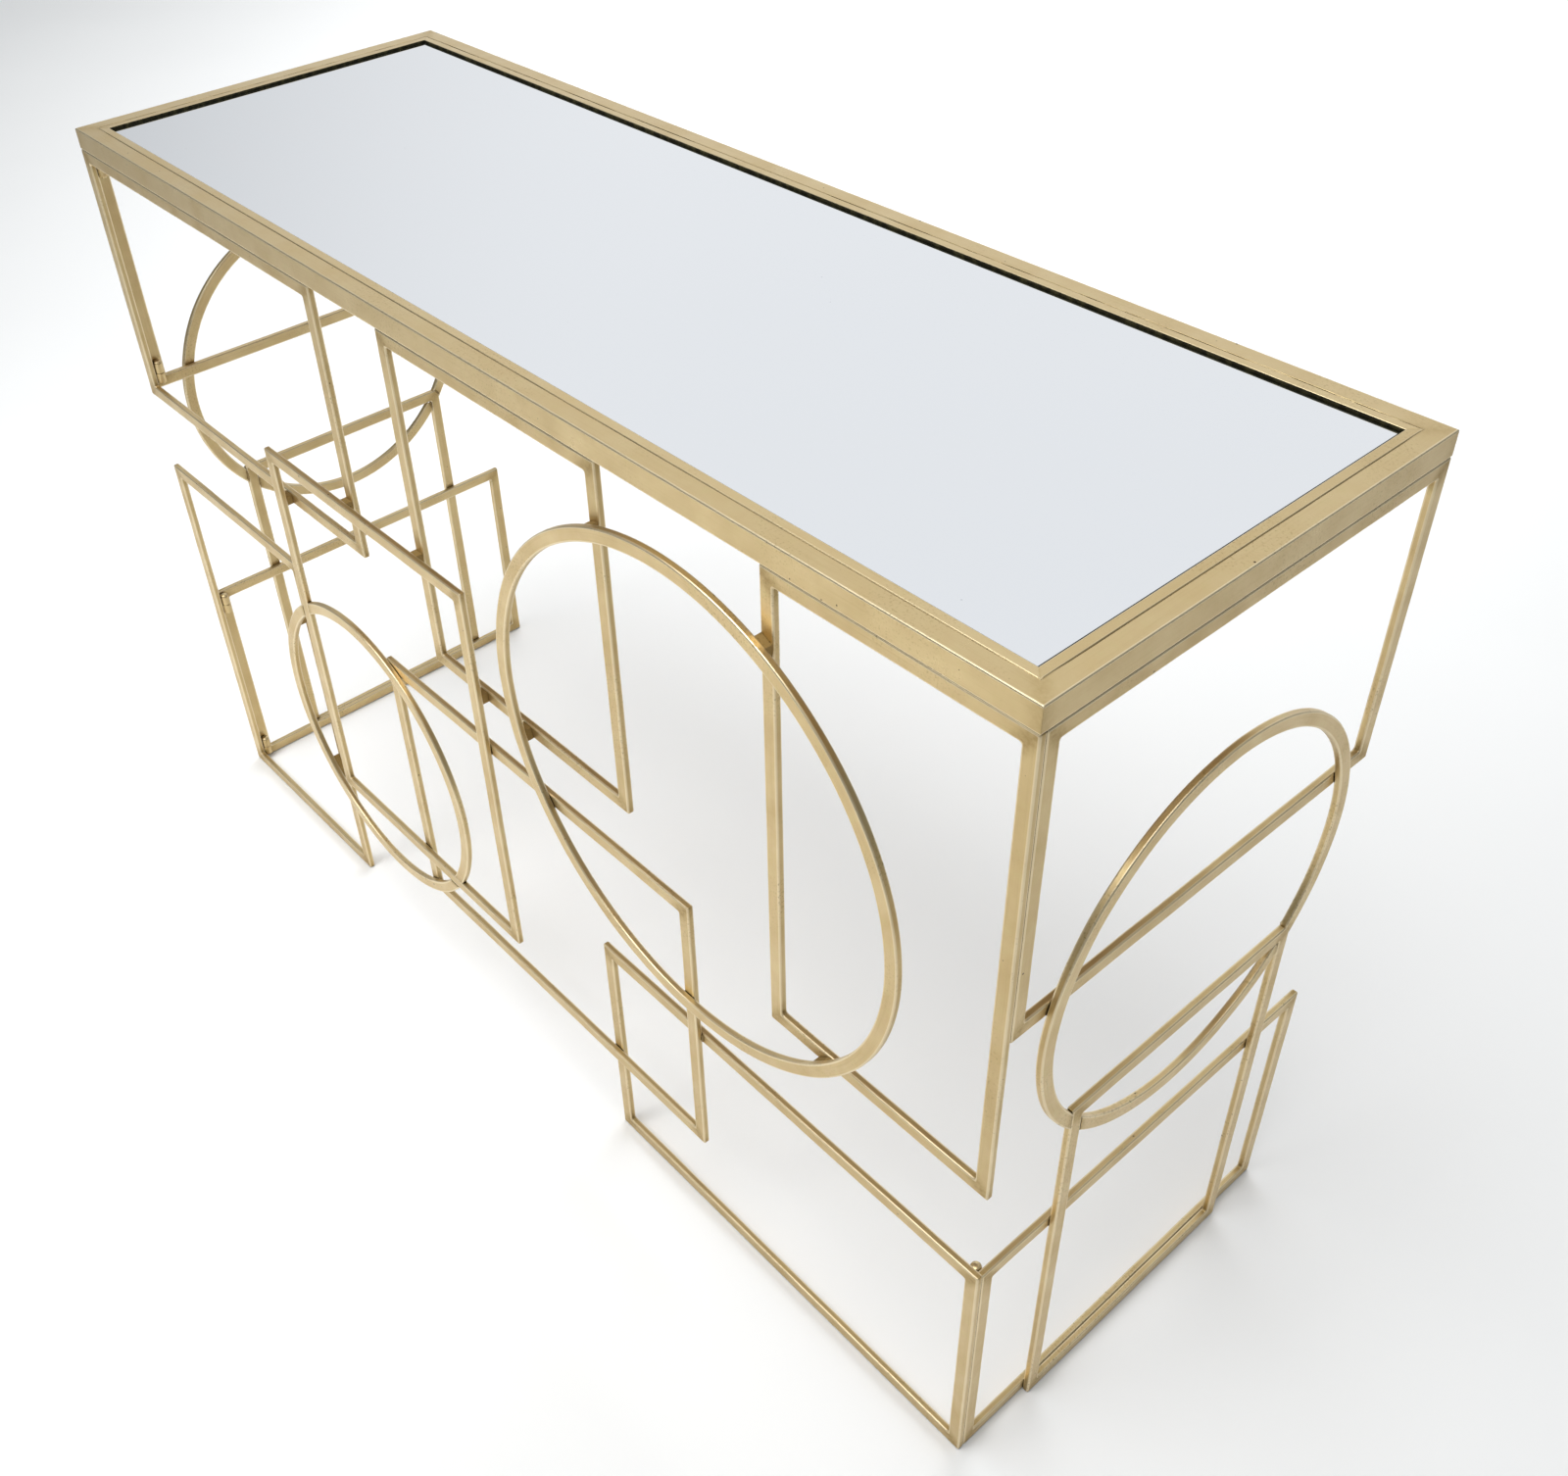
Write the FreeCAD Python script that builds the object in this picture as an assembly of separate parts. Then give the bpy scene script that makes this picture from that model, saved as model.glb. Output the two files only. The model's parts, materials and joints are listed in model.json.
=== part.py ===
"""Console vanity table: a gilt flat-bar base of overlapping frames and rings under a framed mirror top.

The base is three flat panels.  The front panel carries the top.  The two end panels hang on
pinned hinges just behind the front corners and fold in behind the front panel.
Every frame is four mitred flat bars.  Frames lie in layers, each one bar thickness deep:
layer 0 is the panel's own plane, and layers 1 and 2 stand proud of it on the outside.

Axes: +X to the right along the front, +Y to the back, +Z up.
Origin: on the floor, under the middle of the whole table.
"""
import FreeCAD
import Part
import os

V = FreeCAD.Vector

# ---------------------------------------------------------------- driving sizes, millimetres
LENGTH = 1200.0          # top, left to right
DEPTH = 404.0            # top, front to back
HEIGHT = 800.0           # floor to top face
TOP_DEPTH = 20.0         # height of the top's outer rails

BAR_W = 12.0             # flat bar, width seen from the front
BAR_T = 6.0              # flat bar, thickness
BAR_ROUND = 1.2          # rounding along the bar's long edges
RING_EASE = 1.0          # bevel along a ring's rims
SEAM = 0.3               # gap between parts that move against each other

# Front frames: left, right, bottom, top, layer, measured from the left end and the floor.
# None is the panel's own edge.
FRONT_FRAMES = {
    "front_frame_upper_left": (None, 434.0, 516.0, None, 0),
    "front_frame_lower_left": (None, 272.0, None, 428.0, 0),
    "front_frame_upper_middle": (537.0, 814.0, 458.0, None, 0),
    "front_frame_lower_right": (753.0, None, None, 258.0, 0),
    "front_frame_upper_right": (979.0, None, 358.0, None, 0),
    "front_frame_middle_right": (447.0, 890.0, 108.0, 413.0, 1),
    "front_frame_middle_left": (294.0, 621.0, 159.0, 578.0, 2),
}
# Front rings: centre from the left, centre height, outer radius, layer,
# and the frame that the ring stops against, if it lies in that frame's layer.
FRONT_RINGS = {
    "front_ring_large": (892.0, 522.0, 226.0, 2, None),
    "front_ring_small": (386.0, 261.0, 165.0, 2, "front_frame_middle_left"),
}
# End frames: front, back, bottom, top, layer, measured back from the top's front edge.
END_FRAMES = {
    "frame_upper": (None, None, 522.0, None, 0),
    "frame_lower": (None, None, None, 255.0, 0),
    "frame_middle": (80.0, 341.0, None, 391.0, 1),
}
END_RINGS = {
    "ring": (206.0, 486.0, 171.0, 1, "frame_middle"),
}

# Weld pads fill the gap where bars two layers apart cross.
PAD_INSET = 1.0          # how far a pad stands back from the bars' edges
PAD_MIN_SIDE = 4.0       # a crossing narrower than this gets no pad

# Pinned hinges between the front panel and each end panel.
PIN_D = 5.0
PIN_FIT = 0.05           # radial running clearance of the pin in the moving knuckle
PIN_HEAD_D = 8.5
PIN_HEAD_H = 2.5
PIN_HEAD_ROUND = 0.8
PIN_TAIL = 2.0           # pin left standing below the lower knuckle
KNUCKLE_D = 9.0
KNUCKLE_H = 11.0
KNUCKLE_SLIP = 0.4       # between the parts of a hinge, up the pin
KNUCKLE_ROUND = 0.5
HINGE_LOW = 8.0          # lowest knuckle above the foot of its leg
HINGE_HIGH = 4.0         # highest knuckle below the head of its leg

# Top: mitred box rails outside, angle strips inside them, board and mirror lying on the strips.
RAIL_W = 16.0
RAIL_WALL = 1.5
RAIL_ROUND = 1.0
STRIP_W = 8.0            # strip's top face
GROOVE = 1.2             # V-groove between rail and strip
LEDGE_W = 14.0           # ledge that carries the board, beyond the strip
LEDGE_T = 2.5
MIRROR_T = 4.0
MIRROR_DROP = 2.0        # mirror face below the rails' top face
MIRROR_BEVEL = 0.5
BOARD_T = 6.0
EDGE_GAP = 1.0           # board and mirror to the strip, all round

# Tabs on the front panel and the screws that hold the top down to them.
TAB_FRAME = "front_frame_upper_middle"
TAB_W = 24.0
TAB_REACH = 14.0
TAB_T = 3.0
TAB_END = 30.0           # tab's middle to the end of its frame
SCREW_D = 5.0
SCREW_FIT = 0.25         # radial clearance of the screw in its tab
SCREW_HEAD_D = 9.0
SCREW_HEAD_H = 3.0
SCREW_SOCKET_D = 3.5
SCREW_SOCKET_DEEP = 1.8
SCREW_REACH = 9.0        # thread that goes up past the tab

# ---------------------------------------------------------------- sizes that follow
BASE_TOP = HEIGHT - TOP_DEPTH
PROUD = max(spec[4] for spec in [*FRONT_FRAMES.values()]) * BAR_T
X_RIGHT = LENGTH / 2
Y_FRONT = (PROUD - DEPTH) / 2                  # front face of layer 0 and of the top's rails
Y_INNER = Y_FRONT + BAR_T                      # back face of the front panel's layer 0
FRONT_EDGES = (0.0, LENGTH, 0.0, BASE_TOP)
END_EDGES = (BAR_T + SEAM, DEPTH, 0.0, BASE_TOP - SEAM)
HINGE_X = X_RIGHT - BAR_T - SEAM - KNUCKLE_D / 2
HINGE_Y = Y_INNER + SEAM + KNUCKLE_D / 2
PAIR_H = 2 * KNUCKLE_H + KNUCKLE_SLIP
STRIP_H = MIRROR_DROP + MIRROR_T + BOARD_T + LEDGE_T
FAR = 4 * LENGTH         # far enough to pass right through the table
CUT_SPILL = 1.0          # how far a cutting shape runs past the face it cuts
MITRE_REACH = 1.5        # mitre wedges reach this many section depths inwards
ALONG_SHARE = 0.999      # an edge runs along an axis if this share of its length does
SAME_PLACE = 1e-4        # two positions this close are the same


def save(node, solids):
    """Write one node: one solid, or a group of separate solids."""
    shape = solids[0] if len(solids) == 1 else Part.makeCompound(solids)
    shape.exportStep("parts/" + node + ".step")


def box(low, high):
    """Block between two corners."""
    return Part.makeBox(high[0] - low[0], high[1] - low[1], high[2] - low[2], V(*low))


def edges_along(shape, axis):
    """Straight edges of a shape that run along one axis, 0 for X, 1 for Y or 2 for Z."""
    found = []
    for edge in shape.Edges:
        step = edge.Vertexes[-1].Point - edge.Vertexes[0].Point
        if abs(step[axis]) > ALONG_SHARE * edge.Length:
            found.append(edge)
    return found


def cylinder(x, y, low, high, diameter):
    """Upright cylinder between two heights."""
    return Part.makeCylinder(diameter / 2, high - low, V(x, y, low))


# ---------------------------------------------------------------- flat bars in a panel's own plane
# A panel is drawn with X along it, Z up and its outside towards -Y: layer 0 lies from y = 0 back
# to one bar thickness, and each further layer lies one thickness nearer the front.

def filled_in(spec, edges):
    """Frame size with the panel's own edges in place of None."""
    return [edge if value is None else value for value, edge in zip(spec[:4], edges)]


def bar_blocks(size, layer, inset=0.0):
    """Four plain blocks of a rectangular frame: left, right, bottom, top, overlapping at the corners."""
    left, right, low, high = size
    front = -layer * BAR_T
    back = front + BAR_T
    left, right, low, high = left + inset, right - inset, low + inset, high - inset
    wide = BAR_W - 2 * inset
    return [
        box((left, front, low), (left + wide, back, high)),
        box((right - wide, front, low), (right, back, high)),
        box((left, front, low), (right, back, low + wide)),
        box((left, front, high - wide), (right, back, high)),
    ]


def mitre_wedges(size, depth):
    """Four wedges that share a rectangle along 45 degree lines at its corners: left, right, bottom, top."""
    left, right, low, high = size
    spill = depth
    reach = MITRE_REACH * depth
    out = [(left - spill, low - spill), (right + spill, low - spill),
           (right + spill, high + spill), (left - spill, high + spill)]
    ins = [(left + reach, low + reach), (right - reach, low + reach),
           (right - reach, high - reach), (left + reach, high - reach)]
    sides = [(0, 3), (1, 2), (0, 1), (3, 2)]
    wedges = []
    for first, second in sides:
        corners = [out[first], out[second], ins[second], ins[first], out[first]]
        outline = Part.makePolygon([V(x, -FAR / 2, z) for x, z in corners])
        wedges.append(Part.Face(outline).extrude(V(0, FAR, 0)))
    return wedges


def frame_bars(size, layer):
    """Four mitred bars with rounded long edges, as four separate solids."""
    along = (2, 2, 0, 0)
    bars = []
    for block, wedge, axis in zip(bar_blocks(size, layer), mitre_wedges(size, BAR_W), along):
        rounded = block.makeFillet(BAR_ROUND, edges_along(block, axis))
        bars.extend(rounded.common(wedge).Solids)
    return bars


def ring_block(spec, inset=0.0):
    """Plain flat ring standing in the panel's plane."""
    middle_x, middle_z, radius, layer = spec[:4]
    front = V(middle_x, -layer * BAR_T, middle_z)
    outer = Part.makeCylinder(radius - inset, BAR_T, front, V(0, 1, 0))
    return outer.cut(Part.makeCylinder(radius - BAR_W + inset, BAR_T, front, V(0, 1, 0)))


def rims_of(solid):
    """Circular edges of a ring, a ring's arc or a barrel."""
    return [edge for edge in solid.Edges if isinstance(edge.Curve, Part.Circle)]


def ring_arcs(spec, frames, edges):
    """A ring's solids: whole, or cut where a frame in the same layer runs through it."""
    ring = ring_block(spec)
    stop = spec[4]
    if stop is not None:
        ring = ring.cut(bar_blocks(filled_in(frames[stop], edges), frames[stop][4]))
    return [arc.makeChamfer(RING_EASE, rims_of(arc)) for arc in ring.Solids]


def slab(spec, edges, inset):
    """Plain narrowed blocks of a frame or ring, brought into layer 1, and their own layer."""
    if spec[4] is None or isinstance(spec[4], str):
        blocks = [ring_block(spec, inset)]
        layer = spec[3]
    else:
        blocks = bar_blocks(filled_in(spec, edges), spec[4], inset)
        layer = spec[4]
    for block in blocks:
        block.translate(V(0, (layer - 1) * BAR_T, 0))
    return blocks[0].fuse(blocks[1:]) if len(blocks) > 1 else blocks[0], layer


def weld_pads(frames, rings, edges):
    """Pads in layer 1 wherever a bar of layer 2 crosses a bar of layer 0."""
    specs = [*frames.values(), *rings.values()]
    narrowed = [slab(spec, edges, PAD_INSET) for spec in specs]
    between = [slab(spec, edges, 0.0) for spec in specs]
    middle = [shape for shape, layer in between if layer == 1]
    pads = []
    for upper, upper_layer in narrowed:
        if upper_layer != 2:
            continue
        for lower, lower_layer in narrowed:
            if lower_layer != 0:
                continue
            crossing = upper.common(lower)
            if crossing.Solids:
                pads.extend(crossing.cut(middle).Solids)
    merged = pads[0].fuse(pads[1:]).Solids
    return [p for p in merged if min(p.BoundBox.XLength, p.BoundBox.ZLength) > PAD_MIN_SIDE]


# ---------------------------------------------------------------- panels into the table's frame

def to_front(shape):
    """Front panel: drawn from its left end, outside towards -Y."""
    moved = shape.copy()
    moved.translate(V(-LENGTH / 2, Y_FRONT, 0))
    return moved


def to_right_end(shape):
    """Right end panel: drawn from the front edge, outside towards +X."""
    turned = shape.copy()
    turned.rotate(V(0, 0, 0), V(0, 0, 1), 90)
    turned.translate(V(X_RIGHT, Y_FRONT, 0))
    return turned


def to_left(shape):
    """The left end's copy of a piece of the right end."""
    return shape.mirror(V(0, 0, 0), V(1, 0, 0))


def both_ends(node, solids):
    """Write a right end node and its mirror image at the left end."""
    save("right_" + node, solids)
    save("left_" + node, [to_left(s) for s in solids])


# ---------------------------------------------------------------- hinges of the right end

def hinge_heights():
    """Foot of each hinge: one near each end of every end leg."""
    feet = []
    for name in ("frame_lower", "frame_upper"):
        low, high = filled_in(END_FRAMES[name], END_EDGES)[2:]
        feet.append(low + HINGE_LOW)
        feet.append(high - HINGE_HIGH - PAIR_H)
    return feet


def knuckle(low, bore, leaf):
    """Barrel round the hinge axis, joined to a small weld leaf."""
    high = low + KNUCKLE_H
    barrel = cylinder(HINGE_X, HINGE_Y, low, high, KNUCKLE_D)
    body = barrel.makeFillet(KNUCKLE_ROUND, rims_of(barrel)).fuse(leaf).removeSplitter()
    return body.cut(cylinder(HINGE_X, HINGE_Y, low - CUT_SPILL, high + CUT_SPILL, bore)).Solids[0]


def front_knuckle(foot):
    """Lower knuckle, welded to the back of the front leg; the pin is pressed into it."""
    leaf = box((X_RIGHT - BAR_W, Y_INNER, foot), (X_RIGHT - BAR_T - SEAM, HINGE_Y, foot + KNUCKLE_H))
    return knuckle(foot, PIN_D, leaf)


def end_knuckle(foot):
    """Upper knuckle, welded to the inner face of the end leg; it turns on the pin."""
    low = foot + KNUCKLE_H + KNUCKLE_SLIP
    start = Y_FRONT + END_EDGES[0]
    leaf = box((HINGE_X, start, low), (X_RIGHT - BAR_T, start + BAR_W - BAR_T, low + KNUCKLE_H))
    return knuckle(low, PIN_D + 2 * PIN_FIT, leaf)


def hinge_pin(foot):
    """Headed pin up through both knuckles."""
    under_head = foot + PAIR_H + KNUCKLE_SLIP
    shank = cylinder(HINGE_X, HINGE_Y, foot - PIN_TAIL, under_head, PIN_D)
    head = cylinder(HINGE_X, HINGE_Y, under_head, under_head + PIN_HEAD_H, PIN_HEAD_D)
    crown = [e for e in head.Edges if e.BoundBox.ZMin > under_head + PIN_HEAD_H / 2]
    return shank.fuse(head.makeFillet(PIN_HEAD_ROUND, crown)).removeSplitter()


# ---------------------------------------------------------------- the top

def top_outline():
    """The top seen from above, as left, right, front and back."""
    return -LENGTH / 2, LENGTH / 2, Y_FRONT, Y_FRONT + DEPTH


def inset_outline(by):
    """The top's outline drawn in by a distance."""
    left, right, front, back = top_outline()
    return left + by, right - by, front + by, back - by


def plan_block(outline, low, high):
    """Block over an outline seen from above."""
    left, right, front, back = outline
    return box((left, front, low), (right, back, high))


def plan_wedges(outline, depth):
    """Mitre wedges of the top, seen from above."""
    wedges = mitre_wedges(outline, depth)
    for wedge in wedges:
        wedge.rotate(V(0, 0, 0), V(1, 0, 0), -90)
    return wedges


def band(outer_in, inner_in, low, high):
    """Rectangular band of the top between two insets and two heights."""
    return plan_block(inset_outline(outer_in), low, high).cut(plan_block(inset_outline(inner_in), low, high))


def soften(shape, inset, height, amount, chamfer):
    """Round or chamfer a band's level edges that lie at one inset and height."""
    left, right, front, back = inset_outline(inset)
    picked = []
    for edge in edges_along(shape, 0) + edges_along(shape, 1):
        middle = edge.CenterOfMass
        on_side = min(abs(middle.x - left), abs(middle.x - right),
                      abs(middle.y - front), abs(middle.y - back)) < SAME_PLACE
        if on_side and abs(middle.z - height) < SAME_PLACE:
            picked.append(edge)
    return shape.makeChamfer(amount, picked) if chamfer else shape.makeFillet(amount, picked)


def rail_band():
    """All four outer rails in one, before they are parted at the mitres."""
    solid = band(0.0, RAIL_W, BASE_TOP, HEIGHT)
    solid = soften(solid, 0.0, HEIGHT, RAIL_ROUND, False)
    solid = soften(solid, 0.0, BASE_TOP, RAIL_ROUND, False)
    solid = soften(solid, RAIL_W, HEIGHT, GROOVE / 2, True)
    return solid.cut(band(RAIL_WALL, RAIL_W - RAIL_WALL, BASE_TOP + RAIL_WALL, HEIGHT - RAIL_WALL))


def strip_band():
    """All four inner strips with their ledges in one, before they are parted at the mitres."""
    inner = RAIL_W + STRIP_W
    foot = HEIGHT - STRIP_H
    solid = band(RAIL_W, inner, foot, HEIGHT)
    solid = soften(solid, RAIL_W, HEIGHT, GROOVE / 2, True)
    return solid.fuse(band(inner, inner + LEDGE_W, foot, foot + LEDGE_T)).removeSplitter()


def parted(solid, depth):
    """Split a band at the mitres into left, right, front and back lengths."""
    wedges = plan_wedges(top_outline(), depth)
    return {name: solid.common(wedge).Solids[0] for name, wedge in zip(("left", "right", "front", "back"), wedges)}


def tab_places():
    """Middles of the tabs along the front, from the table's middle."""
    left, right = filled_in(FRONT_FRAMES[TAB_FRAME], FRONT_EDGES)[:2]
    return [left + TAB_END - LENGTH / 2, right - TAB_END - LENGTH / 2]


def screw_line():
    """How far back the top's screws stand: over the middle of the tabs."""
    return Y_INNER + TAB_REACH / 2


def top_tab(middle):
    """Flat tab welded behind the front panel's top bar."""
    plate = box((middle - TAB_W / 2, Y_INNER, BASE_TOP - TAB_T), (middle + TAB_W / 2, Y_INNER + TAB_REACH, BASE_TOP))
    hole = SCREW_D + 2 * SCREW_FIT
    return plate.cut(cylinder(middle, screw_line(), BASE_TOP - 2 * TAB_T, BASE_TOP + TAB_T, hole))


def top_screw(middle):
    """Socket head screw from below, up into the rail's lower wall."""
    under_tab = BASE_TOP - TAB_T
    shank = cylinder(middle, screw_line(), under_tab, BASE_TOP + SCREW_REACH, SCREW_D)
    head = cylinder(middle, screw_line(), under_tab - SCREW_HEAD_H, under_tab, SCREW_HEAD_D)
    lowest = under_tab - SCREW_HEAD_H
    socket = cylinder(middle, screw_line(), lowest, lowest + SCREW_SOCKET_DEEP, SCREW_SOCKET_D)
    return shank.fuse(head).cut(socket)


# ---------------------------------------------------------------- build every node

def build_front():
    """Front panel: frames, rings and the pads between them."""
    for node, spec in FRONT_FRAMES.items():
        bars = frame_bars(filled_in(spec, FRONT_EDGES), spec[4])
        save(node, [to_front(b) for b in bars])
    for node, spec in FRONT_RINGS.items():
        save(node, [to_front(a) for a in ring_arcs(spec, FRONT_FRAMES, FRONT_EDGES)])
    save("front_weld_pads", [to_front(p) for p in weld_pads(FRONT_FRAMES, FRONT_RINGS, FRONT_EDGES)])


def build_ends():
    """End panels: frames and rings, and the hinges that carry them."""
    for node, spec in END_FRAMES.items():
        bars = frame_bars(filled_in(spec, END_EDGES), spec[4])
        both_ends("end_" + node, [to_right_end(b) for b in bars])
    for node, spec in END_RINGS.items():
        both_ends("end_" + node, [to_right_end(a) for a in ring_arcs(spec, END_FRAMES, END_EDGES)])
    feet = hinge_heights()
    both_ends("hinge_front_knuckles", [front_knuckle(foot) for foot in feet])
    both_ends("hinge_end_knuckles", [end_knuckle(foot) for foot in feet])
    both_ends("hinge_pins", [hinge_pin(foot) for foot in feet])


def build_top():
    """Top: rails, strips, board, mirror, and the tabs and screws that hold it."""
    rails = parted(rail_band(), RAIL_W)
    for middle in tab_places():
        rails["front"] = rails["front"].cut(
            cylinder(middle, screw_line(), BASE_TOP - CUT_SPILL, BASE_TOP + SCREW_REACH, SCREW_D))
    for side, rail in rails.items():
        save("top_rail_" + side, [rail])
    for side, strip in parted(strip_band(), RAIL_W + STRIP_W + LEDGE_W).items():
        save("top_strip_" + side, [strip])
    seat = HEIGHT - STRIP_H + LEDGE_T
    rest = inset_outline(RAIL_W + STRIP_W + EDGE_GAP)
    save("top_board", [plan_block(rest, seat, seat + BOARD_T)])
    mirror = plan_block(rest, seat + BOARD_T, seat + BOARD_T + MIRROR_T)
    save("mirror_glass", [soften(mirror, RAIL_W + STRIP_W + EDGE_GAP, HEIGHT - MIRROR_DROP, MIRROR_BEVEL, True)])
    save("top_tabs", [top_tab(middle) for middle in tab_places()])
    save("top_screws", [top_screw(middle) for middle in tab_places()])


os.makedirs("parts", exist_ok=True)
build_front()
build_ends()
build_top()
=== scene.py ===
"""Gilt console vanity table: a flat-bar base of overlapping frames and rings under a framed mirror top.

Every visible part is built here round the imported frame, in metres, +Z up, front towards -Y.
Positions come from the frame's own nodes; sizes and colours that a user would change are in the panel.
"""
import json

import bpy
import numpy as np
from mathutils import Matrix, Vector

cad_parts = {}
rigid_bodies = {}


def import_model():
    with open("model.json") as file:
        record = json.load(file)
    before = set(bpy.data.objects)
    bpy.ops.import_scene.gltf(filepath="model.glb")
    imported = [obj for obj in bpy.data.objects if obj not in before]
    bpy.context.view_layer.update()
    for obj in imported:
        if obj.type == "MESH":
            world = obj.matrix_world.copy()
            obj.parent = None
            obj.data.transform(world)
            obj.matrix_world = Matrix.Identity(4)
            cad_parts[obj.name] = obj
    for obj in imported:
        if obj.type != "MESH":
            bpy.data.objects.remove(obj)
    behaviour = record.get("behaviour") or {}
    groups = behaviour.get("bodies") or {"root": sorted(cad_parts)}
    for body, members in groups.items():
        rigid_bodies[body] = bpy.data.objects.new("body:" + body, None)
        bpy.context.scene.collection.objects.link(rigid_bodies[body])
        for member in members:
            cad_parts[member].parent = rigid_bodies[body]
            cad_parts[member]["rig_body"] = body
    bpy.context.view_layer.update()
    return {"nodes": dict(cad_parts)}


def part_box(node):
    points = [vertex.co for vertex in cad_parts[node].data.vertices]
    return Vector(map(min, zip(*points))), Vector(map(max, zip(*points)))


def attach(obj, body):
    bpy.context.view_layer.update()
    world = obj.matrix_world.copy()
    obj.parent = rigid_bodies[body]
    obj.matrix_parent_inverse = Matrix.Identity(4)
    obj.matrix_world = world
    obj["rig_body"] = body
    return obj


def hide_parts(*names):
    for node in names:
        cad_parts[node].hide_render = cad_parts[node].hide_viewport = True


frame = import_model()

bl_info = {
    "name": "Gilt Console Vanity Table",
    "version": (1, 0, 0),
    "blender": (4, 5, 0),
    "location": "3D View > Sidebar > Vanity",
    "description": "Builds the gilt frames, rings, framed mirror top and hinges of a console vanity table",
    "category": "Object",
}

MM = 0.001
TURN = 2 * np.pi
CORNER_WELD = 7 * MM  # how far a frame's ground weld shows from its corner
ARC_WELD = 6 * MM  # the same from a cut ring's end
RAIL_WELD = 9 * MM  # the same along the top's rails
STRIP_WELD = 0.5 * MM  # half width of the line at the strips' mitres
WHOLE_STEPS = 360  # rows round a whole ring
ARC_STEPS = 180  # rows along each arc of a cut ring
TESTED_ANGLES = 36000  # angles at which a cut ring's circle is tested
STRIP_GAP = 1.0 * MM  # between the strips and the mirror
MIRROR_BORDER = 1.6 * MM  # where the mirror's flat face starts, past its bevel
PIN_SHANK = 2.5 * MM  # hinge pin's radius
PIN_HEAD = 2.5 * MM  # height of its head: a rim and a dome
PIN_RIM = 0.7 * MM  # height of the rim alone
PIN_APART = 40 * MM  # points farther apart than this belong to different pins
FRONT_FRAMES = ["upper_left", "lower_left", "upper_middle", "lower_right", "upper_right",
                "middle_right", "middle_left"]
END_FRAMES = ["upper", "lower", "middle"]
SIDES = ["left", "right", "front", "back"]
ENDS = ["right", "left"]
FACES_SIDE, FACES_FRONT, FACES_UP = 0, 1, 2  # axis that a panel faces along


# ---- sizes and colours a user would change

def length(name, description, millimetres):
    """A length property, given in millimetres and kept in metres."""
    return bpy.props.FloatProperty(name=name, description=description, default=millimetres * MM,
                                   min=0.0, subtype="DISTANCE", unit="LENGTH", precision=5)


def linear(hexa):
    """sRGB hex value to a linear colour: each channel's standard curve undone, then alpha 1."""
    channels = np.array([int(hexa[i:i + 2], 16) for i in (1, 3, 5)]) / 255
    low, high = channels / 12.92, ((channels + 0.055) / 1.055) ** 2.4
    return (*np.where(channels <= 0.04045, low, high).tolist(), 1.0)


def colour(name, description, hexa):
    """A colour property, given as an sRGB hex value."""
    return bpy.props.FloatVectorProperty(name=name, description=description, size=4, subtype="COLOR",
                                         default=linear(hexa), min=0.0, max=1.0)


class VanitySizes(bpy.types.PropertyGroup):
    """Shapes of the bars, the top and the small parts."""
    bar_width: length("Bar width", "Flat bar's width, seen square on to its panel", 12.0)
    bar_round: length("Bar edge", "Rounding along the flat bars' edges", 1.3)
    bar_corner: length("Bar corner", "Rounding of a frame's welded and ground corners", 0.9)
    bar_fillet: length("Bar fillet", "Weld fillet in a frame's inside corners", 2.4)
    rail_round: length("Rail edge", "Rounding along the top rails' outer edges", 1.2)
    rail_corner: length("Rail corner", "Rounding of the top's upright corners", 0.5)
    groove: length("Groove", "Width of the V-groove between rail and strip", 1.5)
    groove_stop: length("Groove stop", "How far short of its corner the V-groove is welded shut", 3.5)
    strip_round: length("Strip edge", "Rounding of the strips' inner top edge", 0.7)
    mitre_dip: length("Mitre line", "Depth of the fine line left at the strips' mitres", 0.22)
    waviness: length("Waviness", "How far drawn bar strays from dead straight", 0.10)
    mirror_bevel: length("Mirror bevel", "Ground bevel round the mirror", 1.0)
    mirror_set: length("Mirror set", "How far the silvering seems to lie under the glass", 0.8)
    bead: length("Weld bead", "Radius of a weld bead", 1.5)


class VanityColours(bpy.types.PropertyGroup):
    """Colours of the finishes."""
    gilt: colour("Gilt", "Champagne gilt lacquer", "#D6C193")
    # Painted shade too: besides thicker spray, this colour is laid evenly over the bars to make them darker
    # than the top
    gilt_deep_and_shade: colour("Deep gilt", "Where the gilt lies thicker", "#C9B07E")
    # Painted highlight: this pale gilt is laid along the rounded edges
    gilt_edge_highlight: colour("Edge gilt", "Thin bright gilt along edges", "#F3E5C4")
    # Painted shade as well: besides the pits, this colour is laid into seams as shade
    undercoat: colour("Undercoat", "Dark undercoat in pits and seams", "#3E301A")
    silver: colour("Silvering", "Silvered mirror seen through float glass", "#E4E6E8")
    # Painted shade: this near-black colours the mirror's bevelled border, for the shaded gap round the glass
    mirror_edge_shade: colour("Backing paint", "Dark backing paint at the mirror's edge", "#12150F")
    zinc: colour("Zinc", "Bright zinc plate", "#B9BCC0")
    fibre: colour("Fibreboard", "Raw fibreboard", "#9A7B55")
    floor: colour("Floor", "Matt white studio floor", "#F4F4F3")


def sizes():
    """The sizes in use."""
    return bpy.context.scene.vanity_sizes


def colours():
    """The colours in use."""
    return bpy.context.scene.vanity_colours


# ---- mesh making

def box_of(*nodes):
    """Lowest and highest corner round some frame nodes, as arrays."""
    corners = [np.array(corner, float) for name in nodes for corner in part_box(name)]
    return np.min(corners, axis=0), np.max(corners, axis=0)


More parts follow.
